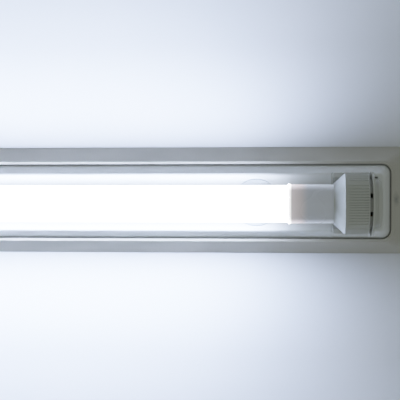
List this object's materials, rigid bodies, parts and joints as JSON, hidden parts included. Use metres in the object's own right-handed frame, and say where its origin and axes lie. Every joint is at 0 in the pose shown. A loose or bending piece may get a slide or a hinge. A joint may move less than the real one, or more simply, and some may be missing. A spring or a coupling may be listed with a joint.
{
  "type": "led tube light",
  "caption": "Surface-mounted batten light with one opal tube lamp in ribbed ring-nut lampholders on a raised white tray inside a sloped, rimmed base.",
  "frame": {"origin": "middle of the base's flat back, where it meets the wall or ceiling", "axes": "+X along the lamp towards the fed end, +Y across the fitting, +Z straight out of the mounting surface"},
  "size_m": [0.7006, 0.079, 0.0871],
  "materials": {
    "base_grey": "light grey moulded plastic, fine texture",
    "tray_white": "white moulded plastic, satin",
    "seal_rubber": "grey foamed seal",
    "black_rubber": "black rubber",
    "terminal_plastic": "natural nylon",
    "screw_steel": "zinc plated steel",
    "lead_insulation": "smooth insulation",
    "opal_tube": "opal, lit from inside",
    "board_white": "white solder mask",
    "chip_yellow": "phosphor",
    "board_green": "solder mask",
    "black_plastic": "component bodies",
    "holder_white": "white moulded plastic",
    "contact_bronze": "phosphor bronze strip",
    "rotor_white": "white moulded plastic",
    "clear_silicone": "translucent silicone",
    "nut_grey": "light grey moulded plastic, ribbed",
    "cap_white": "white, slightly translucent plastic",
    "pin_brass": "bright drawn"
  },
  "bodies": {
    "housing": {"base_housing": "base_grey", "cover_seal": "seal_rubber", "gear_tray": "tray_white", "cable_grommet": "black_rubber", "terminal_block": "terminal_plastic", "terminal_screws": "screw_steel", "supply_leads": "lead_insulation", "holder_body_left": "holder_white", "holder_body_right": "holder_white", "holder_back_left": "holder_white", "holder_back_right": "holder_white", "contacts_left": "contact_bronze", "contacts_right": "contact_bronze", "holder_screws_left": "screw_steel", "holder_screws_right": "screw_steel"},
    "lamp": {"lamp_tube": "opal_tube", "led_board": "board_white", "led_chips": "chip_yellow", "driver_board": "board_green", "driver_parts": "black_plastic", "lamp_cap_left": "cap_white", "lamp_cap_right": "cap_white", "lamp_pins_left": "pin_brass", "lamp_pins_right": "pin_brass"},
    "rotor_left": {"rotor_left": "rotor_white"},
    "seal_left": {"slip_ring_left": "holder_white", "lamp_gasket_left": "clear_silicone"},
    "ring_nut_left": {"ring_nut_left": "nut_grey"},
    "tray_fastener_left": {"tray_fastener_left": "tray_white"},
    "rotor_right": {"rotor_right": "rotor_white"},
    "seal_right": {"slip_ring_right": "holder_white", "lamp_gasket_right": "clear_silicone"},
    "ring_nut_right": {"ring_nut_right": "nut_grey"},
    "tray_fastener_right": {"tray_fastener_right": "tray_white"}
  },
  "joints": [
    {"name": "lamp_turn", "type": "hinge", "parent": "housing", "child": "lamp", "pos_m": [0, 0, 0.065], "axis": [1, 0, 0], "range_deg": [0, 90]},
    {"name": "rotor_left_turn", "type": "hinge", "parent": "housing", "child": "rotor_left", "pos_m": [-0.2975, 0, 0.065], "axis": [1, 0, 0], "range_deg": [0, 90]},
    {"name": "seal_left_travel", "type": "slide", "parent": "housing", "child": "seal_left", "axis": [1, 0, 0], "range_m": [0, 0.00901]},
    {"name": "ring_nut_left_turn", "type": "hinge", "parent": "seal_left", "child": "ring_nut_left", "pos_m": [-0.29, 0, 0.065], "axis": [1, 0, 0], "range_deg": [0, 1080]},
    {"name": "tray_fastener_left_turn", "type": "hinge", "parent": "housing", "child": "tray_fastener_left", "pos_m": [-0.2238, 0, 0.0416], "axis": [0, 0, 1], "range_deg": [0, 90]},
    {"name": "rotor_right_turn", "type": "hinge", "parent": "housing", "child": "rotor_right", "pos_m": [0.2975, 0, 0.065], "axis": [1, 0, 0], "range_deg": [0, 90]},
    {"name": "seal_right_travel", "type": "slide", "parent": "housing", "child": "seal_right", "axis": [-1, 0, 0], "range_m": [0, 0.00901]},
    {"name": "ring_nut_right_turn", "type": "hinge", "parent": "seal_right", "child": "ring_nut_right", "pos_m": [0.29, 0, 0.065], "axis": [-1, 0, 0], "range_deg": [0, 1080]},
    {"name": "tray_fastener_right_turn", "type": "hinge", "parent": "housing", "child": "tray_fastener_right", "pos_m": [0.2238, 0, 0.0416], "axis": [0, 0, 1], "range_deg": [0, 90]}
  ],
  "couplings": [
    {"joint": "rotor_left_turn", "follows": "lamp_turn", "ratio": 1},
    {"joint": "seal_left_travel", "follows": "ring_nut_left_turn", "m_per_rad": 0.00047746},
    {"joint": "rotor_right_turn", "follows": "lamp_turn", "ratio": 1},
    {"joint": "seal_right_travel", "follows": "ring_nut_right_turn", "m_per_rad": 0.00047746}
  ]
}
